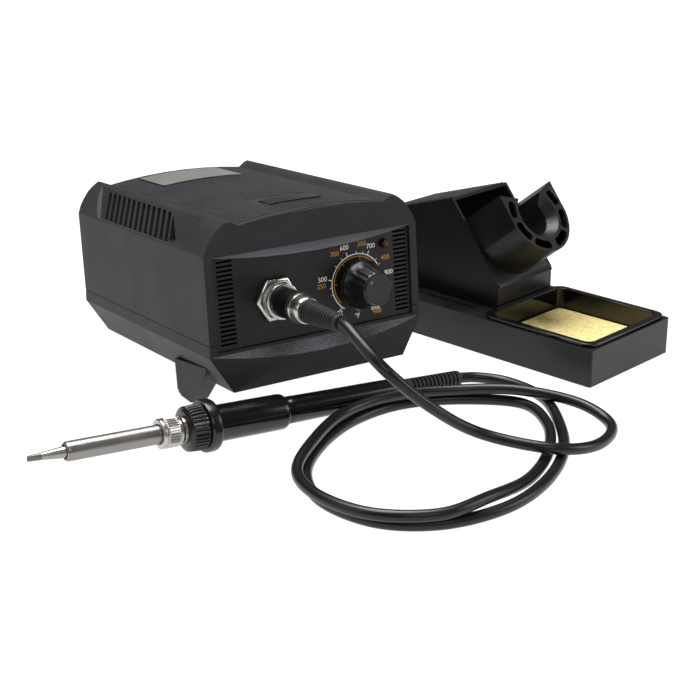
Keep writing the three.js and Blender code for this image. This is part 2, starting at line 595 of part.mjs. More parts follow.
function ironStand() {
  const stand = new THREE.Group();
  stand.position.set(STAND.x, STAND.y, 0);
  stand.rotation.z = THREE.MathUtils.degToRad(STAND.turn);
  stand.add(
    piece('stand_base', standBase(), CASE),
    piece('sponge_tray', spongeTray(), GLOSS_BLACK),
    piece('cleaning_sponge', prismZ(roundedRect([6.7, 67.3], [6.2, 69.8], 3), 5.9, 11.6), SPONGE),
    piece('holder_housing', holderHousing(), MATT_BLACK),
    piece('holder_barrel', holderBarrel(), MATT_BLACK),
  );
  for (const [name, [x, y]] of Object.entries(FOOT_SPOTS)) {
    stand.add(piece(`stand_foot_${name}`, upright(rod(4.5, 0, 1.3, 16), x, y), RUBBER));
  }
  return stand;
}

// ---- whole set ----

function legPad(name, side) {
  const x = [side * 50.6 - 4.3, side * 50.6 + 4.3];
  return piece(`leg_pad_${name}`, block(x, [36.4, 48.2], [0, 0.75]), RUBBER);
}

const set = new THREE.Group();
set.position.set(-ORIGIN[0], -ORIGIN[1], -ORIGIN[2]);
set.add(controlUnit(), legPad('left', -1), legPad('right', 1), plugPieces(), solderingIron());
set.add(ironCord(), ironStand());

export default set;
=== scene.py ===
import json
from math import atan2, cos, degrees, pi, radians, sin

import bmesh
import bpy
from mathutils import Matrix, Vector


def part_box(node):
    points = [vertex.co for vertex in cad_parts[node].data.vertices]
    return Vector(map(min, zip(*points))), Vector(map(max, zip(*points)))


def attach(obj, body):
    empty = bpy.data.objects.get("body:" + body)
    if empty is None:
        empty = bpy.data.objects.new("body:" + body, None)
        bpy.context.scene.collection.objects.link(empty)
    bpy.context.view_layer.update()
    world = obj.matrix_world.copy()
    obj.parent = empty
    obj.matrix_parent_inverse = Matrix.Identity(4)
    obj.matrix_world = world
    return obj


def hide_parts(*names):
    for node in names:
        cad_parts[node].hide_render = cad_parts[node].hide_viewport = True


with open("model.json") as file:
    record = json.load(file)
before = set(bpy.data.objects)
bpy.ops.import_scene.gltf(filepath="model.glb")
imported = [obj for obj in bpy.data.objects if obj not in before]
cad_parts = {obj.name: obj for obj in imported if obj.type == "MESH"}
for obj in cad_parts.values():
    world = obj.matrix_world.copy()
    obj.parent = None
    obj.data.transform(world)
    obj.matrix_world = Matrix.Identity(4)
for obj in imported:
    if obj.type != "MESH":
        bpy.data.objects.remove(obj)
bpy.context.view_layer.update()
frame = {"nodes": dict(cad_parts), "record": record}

# ---- Camera ----
# A long lens on a full-frame camera stands a little above the bench and looks at the fronts of the
# unit and the stand from their left. It takes the whole set in without cropping the cord.
camera_data = bpy.data.cameras.new("camera")
camera_data.sensor_width = 36
camera_data.lens = 77.49
camera = bpy.data.objects.new("camera", camera_data)
camera.location = (-0.37532, -0.65467, 0.2947)
looking = Vector((0.49443, 0.79347, -0.35488))
camera.rotation_euler = looking.to_track_quat("-Z", "Y").to_euler()
bpy.context.scene.collection.objects.link(camera)
bpy.context.scene.camera = camera
bpy.context.scene.view_settings.view_transform = "Standard"

# ---- Floor and light ----
# A seamless sheet of white paper lies under the set, lit through from below. Broad soft boxes hang
# overhead, at each side and in front.
FLOOR_HALF_M = 40
WORLD_STRENGTH = 0.12


def linear(text):
    """The linear colour, with alpha, of an sRGB hex value such as "#4a4a4a"."""
    parts = [int(text[i : i + 2], 16) / 255 for i in (1, 3, 5)]
    return [p / 12.92 if p <= 0.04045 else ((p + 0.055) / 1.055) ** 2.4 for p in parts] + [1.0]


def add(tree, kind, settings=None, links=None):
    """Adds one node. Settings name its inputs or properties; links join its inputs to sockets."""
    node = tree.nodes.new(kind)
    for key, value in (settings or {}).items():
        if key in node.inputs:
            node.inputs[key].default_value = value
        else:
            setattr(node, key, value)
    for key, socket in (links or {}).items():
        tree.links.new(socket, node.inputs[key])
    return node


def new_material(name, base, roughness, metallic=0.0, **sockets):
    """A material with only its Principled shader, set on the shader's own sockets."""
    material = bpy.data.materials.new(name)
    material.use_nodes = True
    shader = material.node_tree.nodes["Principled BSDF"]
    shader.inputs["Base Color"].default_value = linear(base)
    shader.inputs["Roughness"].default_value = roughness
    shader.inputs["Metallic"].default_value = metallic
    for key, value in sockets.items():
        shader.inputs[key.replace("_", " ").title().replace("Ior", "IOR")].default_value = value
    return material, material.node_tree, shader


def keep(name, bm, material, body, smooth_angle=35, replaces=()):
    """Makes a finished bmesh a piece that rides on a body, smooth but for edges over the angle."""
    bmesh.ops.remove_doubles(bm, verts=bm.verts, dist=1e-7)
    mesh = bpy.data.meshes.new(name)
    bm.to_mesh(mesh)
    bm.free()
    piece = bpy.data.objects.new(name, mesh)
    bpy.context.scene.collection.objects.link(piece)
    mesh.materials.append(material)
    mesh.shade_smooth()
    mesh.set_sharp_from_angle(angle=radians(smooth_angle))
    if body:
        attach(piece, body)
    if replaces:
        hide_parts(*replaces)
    return piece


# Backlit paper: an even white with no horizon and only a faint shadow under each piece.
paper, _, paper_shader = new_material("backlit_white_paper", "#666666", 0.9)
paper_shader.inputs["Emission Color"].default_value = (1, 1, 1, 1)
paper_shader.inputs["Emission Strength"].default_value = 1.0
sweep = bmesh.new()
bmesh.ops.create_grid(sweep, x_segments=2, y_segments=2, size=FLOOR_HALF_M)
floor = keep("floor", sweep, paper, None)

world = bpy.data.worlds.new("studio")
bpy.context.scene.world = world
world.use_nodes = True
world.node_tree.nodes["Background"].inputs["Color"].default_value = (1, 1, 1, 1)
world.node_tree.nodes["Background"].inputs["Strength"].default_value = WORLD_STRENGTH

# Each soft box: where it stands, its width and height in metres, and its power in watts.
SOFT_BOXES = {
    "overhead": ((0.0, 0.2, 1.1), (0.9, 0.7), 22),
    "left": ((-1.2, 0.1, 0.7), (0.8, 0.7), 2),
    "right": ((1.0, -0.7, 0.5), (0.5, 0.6), 4),
    "front": ((-0.3, -1.3, 1.0), (0.8, 0.4), 3),
}
AIMED_AT = Vector((0, 0, 0.03))
for box_name, (spot, (wide, high), watts) in SOFT_BOXES.items():
    lamp_data = bpy.data.lights.new(box_name, "AREA")
    lamp_data.shape = "RECTANGLE"
    lamp_data.size, lamp_data.size_y = wide, high
    lamp_data.energy = watts
    lamp = bpy.data.objects.new(box_name, lamp_data)
    lamp.location = spot
    lamp.rotation_euler = (AIMED_AT - Vector(spot)).to_track_quat("-Z", "Y").to_euler()
    bpy.context.scene.collection.objects.link(lamp)

# ---- Iron cord ----
# A limp round lead, 5.5 mm black PVC, extruded smooth. It drops from the plug's boot, lies in two
# loops in front of the unit and ends in the iron's strain relief.
CORD_DIAMETER = 0.0055
CORD_ORIGIN_MM = Vector((17.62, 53.48, 0))
ROUTE_MM = [
    (-22.5, -56.3, 64.5), (-22.5, -61, 64.1), (-22.2, -71, 60.2), (-18.3, -85.3, 51.1),
    (1.5, -92.5, 31.6), (27.3, -96.5, 14), (52.6, -120.1, 9.3), (77.9, -119.4, 4.9),
    (102, -101.5, 3), (100.9, -81.9, 6.6), (80.9, -56, 9.7), (56, -37.7, 8.8),
    (24, -29.1, 9.7), (-6.1, -33.2, 9.3), (-34.7, -52, 9), (-57.7, -75.3, 7.5),
    (-62.6, -101.8, 8.1), (-53, -129.4, 8.7), (-29, -145.2, 8.9), (-2.7, -142, 8.2),
    (30.8, -128.5, 3.2), (56, -110.6, 3.1), (76.6, -84.2, 3), (82.3, -59.1, 3),
    (61.5, -38.9, 3), (31.5, -27.3, 3), (1.5, -31, 3), (-27.9, -47.4, 3),
    (-50.7, -71.3, 3), (-58.7, -98.1, 3), (-49.3, -127.3, 3), (-27.4, -142.9, 3),
    (4.6, -145.6, 3), (33.8, -135.4, 3), (62.6, -113.7, 3), (82.7, -85.9, 3),
    (95.8, -55.5, 3), (92.6, -30.2, 3.1), (81.8, -19.4, 3.9), (73.6, -17, 4.6),
]


def curve_points(stops, steps):
    """Points on the centripetal Catmull-Rom curve through the stops."""
    ends = [2 * stops[0] - stops[1]] + stops + [2 * stops[-1] - stops[-2]]
    points = []
    for a, b, c, d in zip(ends, ends[1:], ends[2:], ends[3:]):
        t0 = 0.0
        t1 = t0 + (b - a).length ** 0.5
        t2 = t1 + (c - b).length ** 0.5
        t3 = t2 + (d - c).length ** 0.5
        for i in range(steps):
            t = t1 + (t2 - t1) * i / steps
            ab = a.lerp(b, (t - t0) / (t1 - t0))
            bc = b.lerp(c, (t - t1) / (t2 - t1))
            cd = c.lerp(d, (t - t2) / (t3 - t2))
            abc = ab.lerp(bc, (t - t0) / (t2 - t0))
            bcd = bc.lerp(cd, (t - t1) / (t3 - t1))
            points.append(abc.lerp(bcd, (t - t1) / (t2 - t1)))
    return points + [stops[-1]]


def moulded(name, dark, light, roughness, grain_mm, relief_mm, mottle_mm=25, **sockets):
    """A surface with fine grain in its relief and a slow drift in its tone and gloss."""
    material, tree, shader = new_material(name, light, sum(roughness) / 2, **sockets)
    place = add(tree, "ShaderNodeTexCoord").outputs["Object"]
    grain = add(tree, "ShaderNodeTexNoise", {"Scale": 1000 / grain_mm, "Detail": 3},
                {"Vector": place})
    drift = add(tree, "ShaderNodeTexNoise", {"Scale": 1000 / mottle_mm, "Detail": 4},
                {"Vector": place})
    tone = add(tree, "ShaderNodeValToRGB", {}, {"Fac": drift.outputs["Fac"]})
    tone.color_ramp.elements[0].position = 0.3
    tone.color_ramp.elements[1].position = 0.7
    tone.color_ramp.elements[0].color = linear(dark)
    tone.color_ramp.elements[1].color = linear(light)
    gloss = add(tree, "ShaderNodeMapRange",
                {"From Min": 0.3, "From Max": 0.7, "To Min": roughness[0], "To Max": roughness[1]},
                {"Value": drift.outputs["Fac"]})
    relief = add(tree, "ShaderNodeBump", {"Distance": relief_mm / 1000, "Strength": 0.7},
                 {"Height": grain.outputs["Fac"]})
    tree.links.new(tone.outputs["Color"], shader.inputs["Base Color"])
    tree.links.new(gloss.outputs["Result"], shader.inputs["Roughness"])
    tree.links.new(relief.outputs["Normal"], shader.inputs["Normal"])
    return material


# Extruded PVC: an even satin black with a long soft highlight.
pvc = moulded("extruded_black_pvc", "#0b0b0c", "#100f11", (0.3, 0.38), 3.0, 0.02, 40,
              specular_ior_level=0.4)

route = [(Vector(p) - CORD_ORIGIN_MM) / 1000 for p in ROUTE_MM]
cord_data = bpy.data.curves.new("cord", "CURVE")
cord_data.dimensions = "3D"
cord_data.bevel_depth = CORD_DIAMETER / 2
cord_data.bevel_resolution = 6
cord_data.use_fill_caps = True
cord_points = curve_points(route, 10)
spline = cord_data.splines.new("POLY")
spline.points.add(len(cord_points) - 1)
for spline_point, spot in zip(spline.points, cord_points):
    spline_point.co = (*spot, 1)
spline.use_smooth = True
cord_data.materials.append(pvc)
cord = bpy.data.objects.new("cord", cord_data)
bpy.context.scene.collection.objects.link(cord)
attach(cord, "iron")
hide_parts("iron_cord")

# ---- Control unit: case ----
# Two hollow shells of injection-moulded ABS, screwed together from below. The case stands nose up on
# its front legs, so its pieces share one tilted frame in millimetres: X along the front, Y towards
# the back and Z up.
joints = {j["name"]: j for j in frame["record"]["behaviour"]["joints"]}


def frame_from(right, back, up, origin):
    """A matrix from millimetres in a piece's own frame to metres in the scene."""
    turn = Matrix((right, back, up)).transposed().to_4x4()
    return Matrix.Translation(origin) @ turn @ Matrix.Scale(0.001, 4)


KNOB_AT = Vector((24.4, -8, 42.3))
outward = Vector(joints["temperature_knob_turn"]["axis"]).normalized()
right = Vector((1, 0, 0))
unit_up = right.cross(-outward)
unit_turn = frame_from(right, -outward, unit_up, Vector())
knob_hub = Vector(joints["temperature_knob_turn"]["pos_m"])
UNIT = Matrix.Translation(knob_hub - unit_turn @ KNOB_AT) @ unit_turn


def softened(node, material, width_mm, body, segments=3, angle=28):
    """A node's own shape with its flat facets joined and its edges rounded to a moulded radius."""
    bm = bmesh.new()
    bm.from_mesh(frame["nodes"][node].data)
    bmesh.ops.remove_doubles(bm, verts=bm.verts, dist=2e-6)
    bmesh.ops.dissolve_limit(bm, angle_limit=radians(0.7), verts=bm.verts, edges=bm.edges)
    piece = keep(node + "_skin", bm, material, body, angle, (node,))
    rounding = piece.modifiers.new("rounding", "BEVEL")
    rounding.width = width_mm / 1000
    rounding.segments = segments
    rounding.limit_method = "ANGLE"
    rounding.angle_limit = radians(angle)
    rounding.harden_normals = True
    return piece


# Spark-textured ABS: dark charcoal with a fine grain that scatters the soft boxes.
# A real spark texture is about 0.3 mm; it is drawn at 0.9 mm so that it shows.
abs_case = moulded("spark_textured_abs", "#262426", "#2d2b2e", (0.5, 0.6), 0.9, 0.09,
                   specular_ior_level=0.22)
lower_skin = softened("unit_lower_shell", abs_case, 0.6, "control_unit")
upper_skin = softened("unit_upper_shell", abs_case, 0.7, "control_unit")

# The bowed facet under the panel has a coarser grain and is a paler copy of the case ABS, with pale
# flecks 0.55 mm across on charcoal: painted light and painted glints where it catches the light.
PAINTED_GLINT_MM = 0.55
lip_abs_painted_light = moulded("coarse_abs_painted_light", "#39373b", "#403e43", (0.45, 0.55), 0.7, 0.12,
                 specular_ior_level=0.4)
lip_painted_light_tree = lip_abs_painted_light.node_tree
lip_painted_light_place = add(lip_painted_light_tree, "ShaderNodeTexCoord").outputs["Object"]
painted_glints = add(lip_painted_light_tree, "ShaderNodeTexNoise", {"Scale": 1000 / PAINTED_GLINT_MM, "Detail": 2},
             {"Vector": lip_painted_light_place})
painted_glint_tone = add(lip_painted_light_tree, "ShaderNodeValToRGB", {}, {"Fac": painted_glints.outputs["Fac"]})
for stop, place, shade in zip(painted_glint_tone.color_ramp.elements, (0.4, 0.7), ("#343236", "#716f75")):
    stop.position = place
    stop.color = linear(shade)
lip_painted_light_shader = lip_painted_light_tree.nodes["Principled BSDF"]
lip_painted_light_tree.links.new(painted_glint_tone.outputs["Color"], lip_painted_light_shader.inputs["Base Color"])
to_unit = UNIT.inverted()
NOSE_BACK_Y = 1.3
LIP_Z = (13.5, 19.6)


def on_bowed_facet(spots, low, high, foremost):
    """Whether a face lies on the case's nose between two heights and reaches its bowed middle."""
    in_band = all(low <= spot.z <= high and spot.y < NOSE_BACK_Y for spot in spots)
    return in_band and min(spot.y for spot in spots) < foremost


# Faces of the lip's bowed facet take the paler copy: painted light.
lower_skin.data.materials.append(lip_abs_painted_light)
for polygon in lower_skin.data.polygons:
    spots = [to_unit @ lower_skin.data.vertices[i].co for i in polygon.vertices]
    if on_bowed_facet(spots, *LIP_Z, -0.5):
        polygon.material_index = 1

# The walls of the vent slots are painted shade, a dead black rough copy of the case ABS, so that the
# slots read as open. The brow's bowed facet is a paler, finer copy, painted light where it catches
# the overhead light.
painted_shade_abs = moulded("painted_shade_vent_abs", "#050505", "#080808", (0.75, 0.85), 0.9, 0.05,
                  specular_ior_level=0.1)
brow_abs_painted_light = moulded("satin_brow_painted_light", "#49474c", "#504e53", (0.4, 0.5), 1.2, 0.03,
                   specular_ior_level=0.4)
BROW_Z = (63.3, 67.6)
VENT_X, VENT_Y, VENT_Z = (43, 60), (38, 134), (69.6, 82.6)


def in_vent(spot):
    """Whether a place on the upper shell is inside one of its two shoulder vents."""
    return (VENT_X[0] < abs(spot.x) < VENT_X[1] and VENT_Y[0] < spot.y < VENT_Y[1]
            and VENT_Z[0] < spot.z < VENT_Z[1])


upper_skin.data.materials.append(painted_shade_abs)
upper_skin.data.materials.append(brow_abs_painted_light)
for polygon in upper_skin.data.polygons:
    spots = [to_unit @ upper_skin.data.vertices[i].co for i in polygon.vertices]
    # Faces of the brow's bowed facet take the paler copy: painted light.
    if on_bowed_facet(spots, *BROW_Z, -0.3):
        polygon.material_index = 2
    middle = to_unit @ polygon.center
    facing = (to_unit.to_3x3() @ polygon.normal).normalized()
    # Faces of the slot walls take the painted shade.
    if in_vent(middle) and abs(facing.x) < 0.3:
        polygon.material_index = 1

# Fine ribs run along the arched top, moulded with it, broken only by the badge and the rating label.
# The arch is made of flats, and each rib sits on the flat under it, sunk a little way in.
ARCH_CROWN_Z, ARCH_DROP, ARCH_HALF_WIDE = 84.3, 3.1, 41
RIB_PITCH, RIB_WIDE, RIB_HIGH, RIB_SUNK = 1.8, 0.85, 0.32, 0.1
RIBS_EACH_SIDE = 21
RIB_FRONT_Y, RIB_BACK_Y = 3.5, 150
LABEL_LEFT_X, LABEL_RIGHT_X, LABEL_FRONT_Y = -26, 23.5, 113.8
BADGE_LEFT_X, BADGE_RIGHT_X, BADGE_FRONT_Y, BADGE_BACK_Y = -13, 18, 27, 40.6


def arch_z(x):
    """The height of the arched top at a distance from its middle line."""
    return ARCH_CROWN_Z - ARCH_DROP * (x / ARCH_HALF_WIDE) ** 2


ARCH = [(x, arch_z(x)) for x in (-41, -30, -18, -6, 6, 18, 30, 41)]
ribs = bmesh.new()
for i in range(-RIBS_EACH_SIDE, RIBS_EACH_SIDE + 1):
    x = i * RIB_PITCH
    (x0, z0), (x1, z1) = next(flat for flat in zip(ARCH, ARCH[1:]) if flat[0][0] <= x <= flat[1][0])
    z = z0 + (z1 - z0) * (x - x0) / (x1 - x0)
    runs = [(RIB_FRONT_Y, RIB_BACK_Y)]
    if LABEL_LEFT_X < x < LABEL_RIGHT_X:
        runs = [(RIB_FRONT_Y, LABEL_FRONT_Y)]
    if BADGE_LEFT_X < x < BADGE_RIGHT_X:
        behind = [(max(BADGE_BACK_Y, start), end) for start, end in runs]
        runs = [(RIB_FRONT_Y, BADGE_FRONT_Y), *behind]
    for start, end in runs:
        middle = Matrix.Translation((x, (start + end) / 2, z + RIB_HIGH / 2 - RIB_SUNK))
        size = Matrix.Diagonal((RIB_WIDE, end - start, RIB_HIGH + 2 * RIB_SUNK, 1))
        bmesh.ops.create_cube(ribs, size=1, matrix=middle @ size)
crests = [e for e in ribs.edges if all(v.co.z > arch_z(v.co.x) + 0.05 for v in e.verts)
          and abs(e.verts[0].co.y - e.verts[1].co.y) > 1]
bmesh.ops.bevel(ribs, geom=crests, offset=0.14, segments=2, profile=0.5, affect="EDGES",
                material=-1)
bmesh.ops.transform(ribs, matrix=UNIT, verts=ribs.verts)
# The ribs' crests rub smoother than the spark texture, and the ribs are a paler copy of the case ABS,
# a painted highlight, so the top shows fine brighter lines.
rib_abs_painted_highlight = moulded("satin_ribbed_painted_highlight", "#323033", "#39373a", (0.34, 0.44), 0.9, 0.02,
                  specular_ior_level=0.45)
keep("top_ribs", ribs, rib_abs_painted_highlight, "control_unit")

# ---- Front panel and its printed scale ----
# A thin moulded panel, matt black, with louvres at both ends and a two-colour scale pad-printed
# round the knob: white for degrees Fahrenheit and amber for degrees Celsius.

# The panel's finer texture reads as an even matt black, darker than the case.
panel_black = moulded("matt_black_panel", "#171618", "#1c1b1d", (0.42, 0.5), 0.6, 0.03,
                      specular_ior_level=0.3)
softened("unit_front_panel", panel_black, 0.25, "control_unit", 2)
# Pad-printed ink lies flat and even, so both inks stay crisp and without shine.
white_ink = moulded("white_pad_ink", "#e6e4e0", "#f0eeea", (0.5, 0.6), 0.3, 0.005)
amber_ink = moulded("amber_pad_ink", "#b88122", "#c98f2c", (0.5, 0.6), 0.3, 0.005)

PANEL_FACE_Y = 1.5
INK_MM = 0.08
INK_SUNK = 0.02
CAP_HEIGHT_TO_SIZE = 1.38
DIAL = Vector((24.4, 42.3))
face_turn = Matrix(((1, 0, 0), (0, 0, 1), (0, -1, 0))).transposed().to_4x4()
PANEL = UNIT @ Matrix.Translation((0, PANEL_FACE_Y - INK_SUNK, 0)) @ face_turn


def letter(bm, text, height_mm, x, z):
    """Adds one short printed text, centred at a place on the panel, in panel millimetres."""
    data = bpy.data.curves.new("print", "FONT")
    data.body = text
    data.size = height_mm * CAP_HEIGHT_TO_SIZE
    data.align_x = "CENTER"
    data.align_y = "CENTER"
    data.extrude = INK_MM / 2
    data.resolution_u = 4
    data.offset = 0.004 * height_mm
    holder = bpy.data.objects.new("print", data)
    flat = bpy.data.meshes.new_from_object(holder)
    flat.transform(Matrix.Translation((x, z, 0)))
    bm.from_mesh(flat)
    bpy.data.objects.remove(holder)
    bpy.data.meshes.remove(flat)


def printed_arc(bm, inner, outer, start, end):
    """Adds a flat ring sector round the dial, between two angles in degrees."""
    angle = radians(start)
    low, high = -INK_MM / 2, INK_MM / 2
    section = ((inner, low), (outer, low), (outer, high), (inner, high))
    corners = [(DIAL.x + r * cos(angle), DIAL.y + r * sin(angle), z) for r, z in section]
    face = bm.faces.new([bm.verts.new(c) for c in corners])
    bmesh.ops.spin(bm, geom=[face, *face.edges, *face.verts], cent=(DIAL.x, DIAL.y, 0),
                   axis=(0, 0, 1), angle=radians(end - start), steps=48, use_duplicate=False)


def tick(bm, value_at, inner, outer, width):
    """Adds one radial tick of the scale, pointing at an angle in degrees."""
    hub = Matrix.Translation((DIAL.x, DIAL.y, 0)) @ Matrix.Rotation(radians(value_at), 4, "Z")
    middle = Matrix.Translation(((inner + outer) / 2, 0, 0))
    size = Matrix.Diagonal((outer - inner, width, INK_MM, 1))
    bmesh.ops.create_cube(bm, size=1, matrix=hub @ middle @ size)


WHITE_NUMBERS = {"392": (12.7, 28.3), "500": (4.6, 46.9), "600": (18, 60.9), "700": (33.4, 59.5),
                 "800": (43.4, 44.5), "896": (34.6, 27.5)}
AMBER_NUMBERS = {"250": (3.8, 43.5), "300": (12.2, 58.6), "350": (28.1, 61.4), "400": (41.6, 52.4),
                 "480": (35.6, 25.5)}


NUMBER_HIGH = 2.5
LONG_TICK_WIDE, SHORT_TICK_WIDE = 0.42, 0.26
WHITE_ARC_IN, WHITE_ARC_OUT = 14.3, 14.85
WHITE_TICK_IN, LONG_WHITE_OUT, SHORT_WHITE_OUT = 14.6, 16.9, 16.0
AMBER_ARC_IN, AMBER_ARC_OUT = 13.05, 13.5
AMBER_TICK_IN, AMBER_TICK_OUT = 11.6, 13.3


def angle_of(spot):
    """The angle in degrees at which a number stands round the dial."""
    return degrees(atan2(spot[1] - DIAL.y, spot[0] - DIAL.x))


def press(bm, name, ink):
    """Lays a finished print on the panel's face and keeps it."""
    bmesh.ops.recalc_face_normals(bm, faces=bm.faces)
    bmesh.ops.transform(bm, matrix=PANEL, verts=bm.verts)
    keep(name, bm, ink, "control_unit")


white_print = bmesh.new()
printed_arc(white_print, WHITE_ARC_IN, WHITE_ARC_OUT, 16, 237)
for number, spot in WHITE_NUMBERS.items():
    letter(white_print, number, NUMBER_HIGH, *spot)
    tick(white_print, angle_of(spot), WHITE_TICK_IN, LONG_WHITE_OUT, LONG_TICK_WIDE)
for spot_angle in (196, 182, 168, 140, 122, 88, 74, 40, 28):
    tick(white_print, spot_angle, WHITE_TICK_IN, SHORT_WHITE_OUT, SHORT_TICK_WIDE)
letter(white_print, "°F", NUMBER_HIGH, 23.7, 25.1)
press(white_print, "scale_print_white", white_ink)

amber_print = bmesh.new()
printed_arc(amber_print, AMBER_ARC_IN, AMBER_ARC_OUT, -52, 222)
for number, spot in AMBER_NUMBERS.items():
    letter(amber_print, number, NUMBER_HIGH, *spot)
    tick(amber_print, angle_of(spot), AMBER_TICK_IN, AMBER_TICK_OUT, LONG_TICK_WIDE)
letter(amber_print, "°C", NUMBER_HIGH, 23.9, 28.4)
press(amber_print, "scale_print_amber", amber_ink)

# ---- Temperature knob ----
# A pressed-on black knob, moulded in one piece: a glossy skirt, a fluted flank to grip and a matt
# flat face with a dot that points at the scale.


def turned(profile, steps=72):
    """A bmesh spun round local Z from (radius, distance) pairs in millimetres."""
    bm = bmesh.new()
    verts = [bm.verts.new((r, 0, z)) for r, z in profile]
    edges = [bm.edges.new(pair) for pair in zip(verts, verts[1:])]
    bmesh.ops.spin(bm, geom=verts + edges, cent=(0, 0, 0), axis=(0, 0, 1), angle=2 * pi, steps=steps,
                   use_merge=True, use_duplicate=False)
    bmesh.ops.remove_doubles(bm, verts=bm.verts, dist=1e-4)
    bmesh.ops.recalc_face_normals(bm, faces=bm.faces)
    return bm


def flute(bm, count, depth, low, high, sharpness=1.0):
    """Presses evenly spaced flutes into the flank between two distances along the axis."""
    for vert in bm.verts:
        radius = vert.co.xy.length
        if radius < 1e-3 or not low - 1e-4 <= vert.co.z <= high + 1e-4:
            continue
        wave = 0.5 - 0.5 * cos(count * atan2(vert.co.y, vert.co.x))
        vert.co.xy *= 1 - depth * wave ** sharpness / radius


def set_in(bm, matrix, name, material, body, replaces, smooth_angle=35):
    """Moves a turned piece into its place and keeps it."""
    bmesh.ops.transform(bm, matrix=matrix, verts=bm.verts)
    return keep(name, bm, material, body, smooth_angle, replaces)


def along(axis, origin):
    """A matrix from millimetres along a piece's own Z to a direction in the scene."""
    side = axis.cross(Vector((0, 0, 1))).normalized()
    return frame_from(side, axis.cross(side), axis, origin)


# Polished phenolic: near black, with a clean highlight down each flute.
gloss_knob = moulded("polished_phenolic", "#0b0b0b", "#100f10", (0.26, 0.34), 2.0, 0.006)
# The face is left matt, so it reads a little paler than the flank and without a highlight.
matt_face = moulded("matt_knob_face", "#141314", "#191819", (0.45, 0.55), 0.5, 0.02)
KNOB_PLACE = along(outward, UNIT @ Vector((KNOB_AT.x, 0, KNOB_AT.z)))
knob = turned([
    (0, 16), (3.4, 16), (3.4, 3), (11.9, 3), (12.3, 3.15), (12.5, 3.5), (12.5, 4.7), (12.35, 5.3),
    (12.0, 6.0), (11.5, 6.9), (11.1, 7.9), (10.7, 9), (10.3, 10.5), (9.85, 12.2), (9.4, 14),
    (9.0, 15.8), (8.65, 17.2), (8.4, 17.9), (8.1, 18.3), (7.8, 18.5), (7.55, 18.4), (7.4, 18.35),
    (0, 18.35)], 180)
flute(knob, count=18, depth=0.3, low=8.8, high=17.3)
set_in(knob, KNOB_PLACE, "knob_turned", gloss_knob, "knob", ("temperature_knob",))
knob_face = turned([(0, 18.37), (7.3, 18.37), (7.35, 18.45), (7.25, 18.58), (0, 18.58)], 72)
set_in(knob_face, KNOB_PLACE, "knob_face_disc", matt_face, "knob", ())
dot = turned([(0, 18.56), (0.75, 18.56), (0.75, 18.64), (0, 18.66)], 24)
DOT_AT = (3.9, -3.9, 0)
bmesh.ops.translate(dot, verts=dot.verts, vec=DOT_AT)
# A dull grey print, only just paler than the face.
dot_ink = moulded("grey_pad_ink", "#6a6865", "#757370", (0.5, 0.6), 0.3, 0.005)
set_in(dot, KNOB_PLACE, "knob_pointer_dot", dot_ink, "knob", ())

# ---- Indicator lamp ----
# A small domed lens of dark red polystyrene, moulded clear and pushed through the panel from behind
# over its lamp, which is unlit.

# Tinted clear plastic: dark in the body, with one sharp bright point on the dome.
lens_red, _, lens_shader = new_material("dark_red_lens", "#441512", 0.14)
lens_shader.inputs["Transmission Weight"].default_value = 0.25
LAMP_AT = Vector((40.8, 0, 59.9))
LAMP_PLACE = along(outward, UNIT @ LAMP_AT)
lens = turned([(0, -8), (2.2, -8), (2.2, -0.4), (2.15, 0.2), (1.95, 0.95), (1.5, 1.6), (0.8, 2.05),
               (0, 2.2)], 40)
set_in(lens, LAMP_PLACE, "indicator_dome", lens_red, "control_unit", ("indicator_lens",))

# ---- Socket and plug ----
# A round locking socket of plated brass, turned and held in the panel by its hexagonal nut. The plug
# has a coupling ring, a black nylon body, a plated clamp shell and a ribbed rubber boot.


def plated(name, tint, roughness, scratch_mm, relief_mm):
    """Bright plated or polished metal with faint haze that varies slowly."""
    return moulded(name, tint, tint, (roughness, roughness + 0.08), scratch_mm, relief_mm, 12,
                   metallic=1.0)


# Nickel over polished brass: warm white with sharp reflections.
nickel = plated("polished_nickel_plate", "#bbb8b2", 0.18, 1.2, 0.004)
# Zinc left as plated: greyer and hazier than the nickel.
thread_steel = plated("zinc_plated_thread", "#9a9793", 0.34, 0.5, 0.02)
# Moulded nylon: deep black with a soft narrow highlight.
satin_black = moulded("satin_black_nylon", "#09090a", "#0d0d0e", (0.24, 0.32), 1.0, 0.02)
# Moulded rubber: a dusty matt black that hardly shines.
soft_rubber = moulded("soft_black_rubber", "#111112", "#171618", (0.5, 0.62), 0.8, 0.03)
SOCKET_AT = Vector((-22.5, 0, 42.2))
SOCKET_PLACE = along(outward, UNIT @ SOCKET_AT)

NUT_CORNER_RADIUS, NUT_BORE_RADIUS, NUT_THICK, NUT_MIDDLE_Z = 11.8, 9.3, 2.9, 0.25
nut = bmesh.new()
nut_turn = Matrix.Translation((0, 0, NUT_MIDDLE_Z)) @ Matrix.Rotation(pi / 6, 4, "Z")
bmesh.ops.create_cone(nut, cap_ends=True, cap_tris=False, segments=6, radius1=NUT_CORNER_RADIUS,
                      radius2=NUT_CORNER_RADIUS, depth=NUT_THICK, matrix=nut_turn)
hex_faces = [f for f in nut.faces if abs(f.normal.z) > 0.9]
bmesh.ops.inset_region(nut, faces=hex_faces, thickness=0.8, depth=0.45)
bmesh.ops.inset_region(nut, faces=hex_faces, thickness=0.7, depth=0)
for vert in {v for f in hex_faces for v in f.verts}:
    vert.co.xy = vert.co.xy.normalized() * NUT_BORE_RADIUS
bmesh.ops.delete(nut, geom=hex_faces, context="FACES_ONLY")
rims = [e for e in nut.edges if e.is_boundary]
bmesh.ops.bridge_loops(nut, edges=rims)
nut_edges = [e for e in nut.edges if e.calc_face_angle(0) > 0.6]
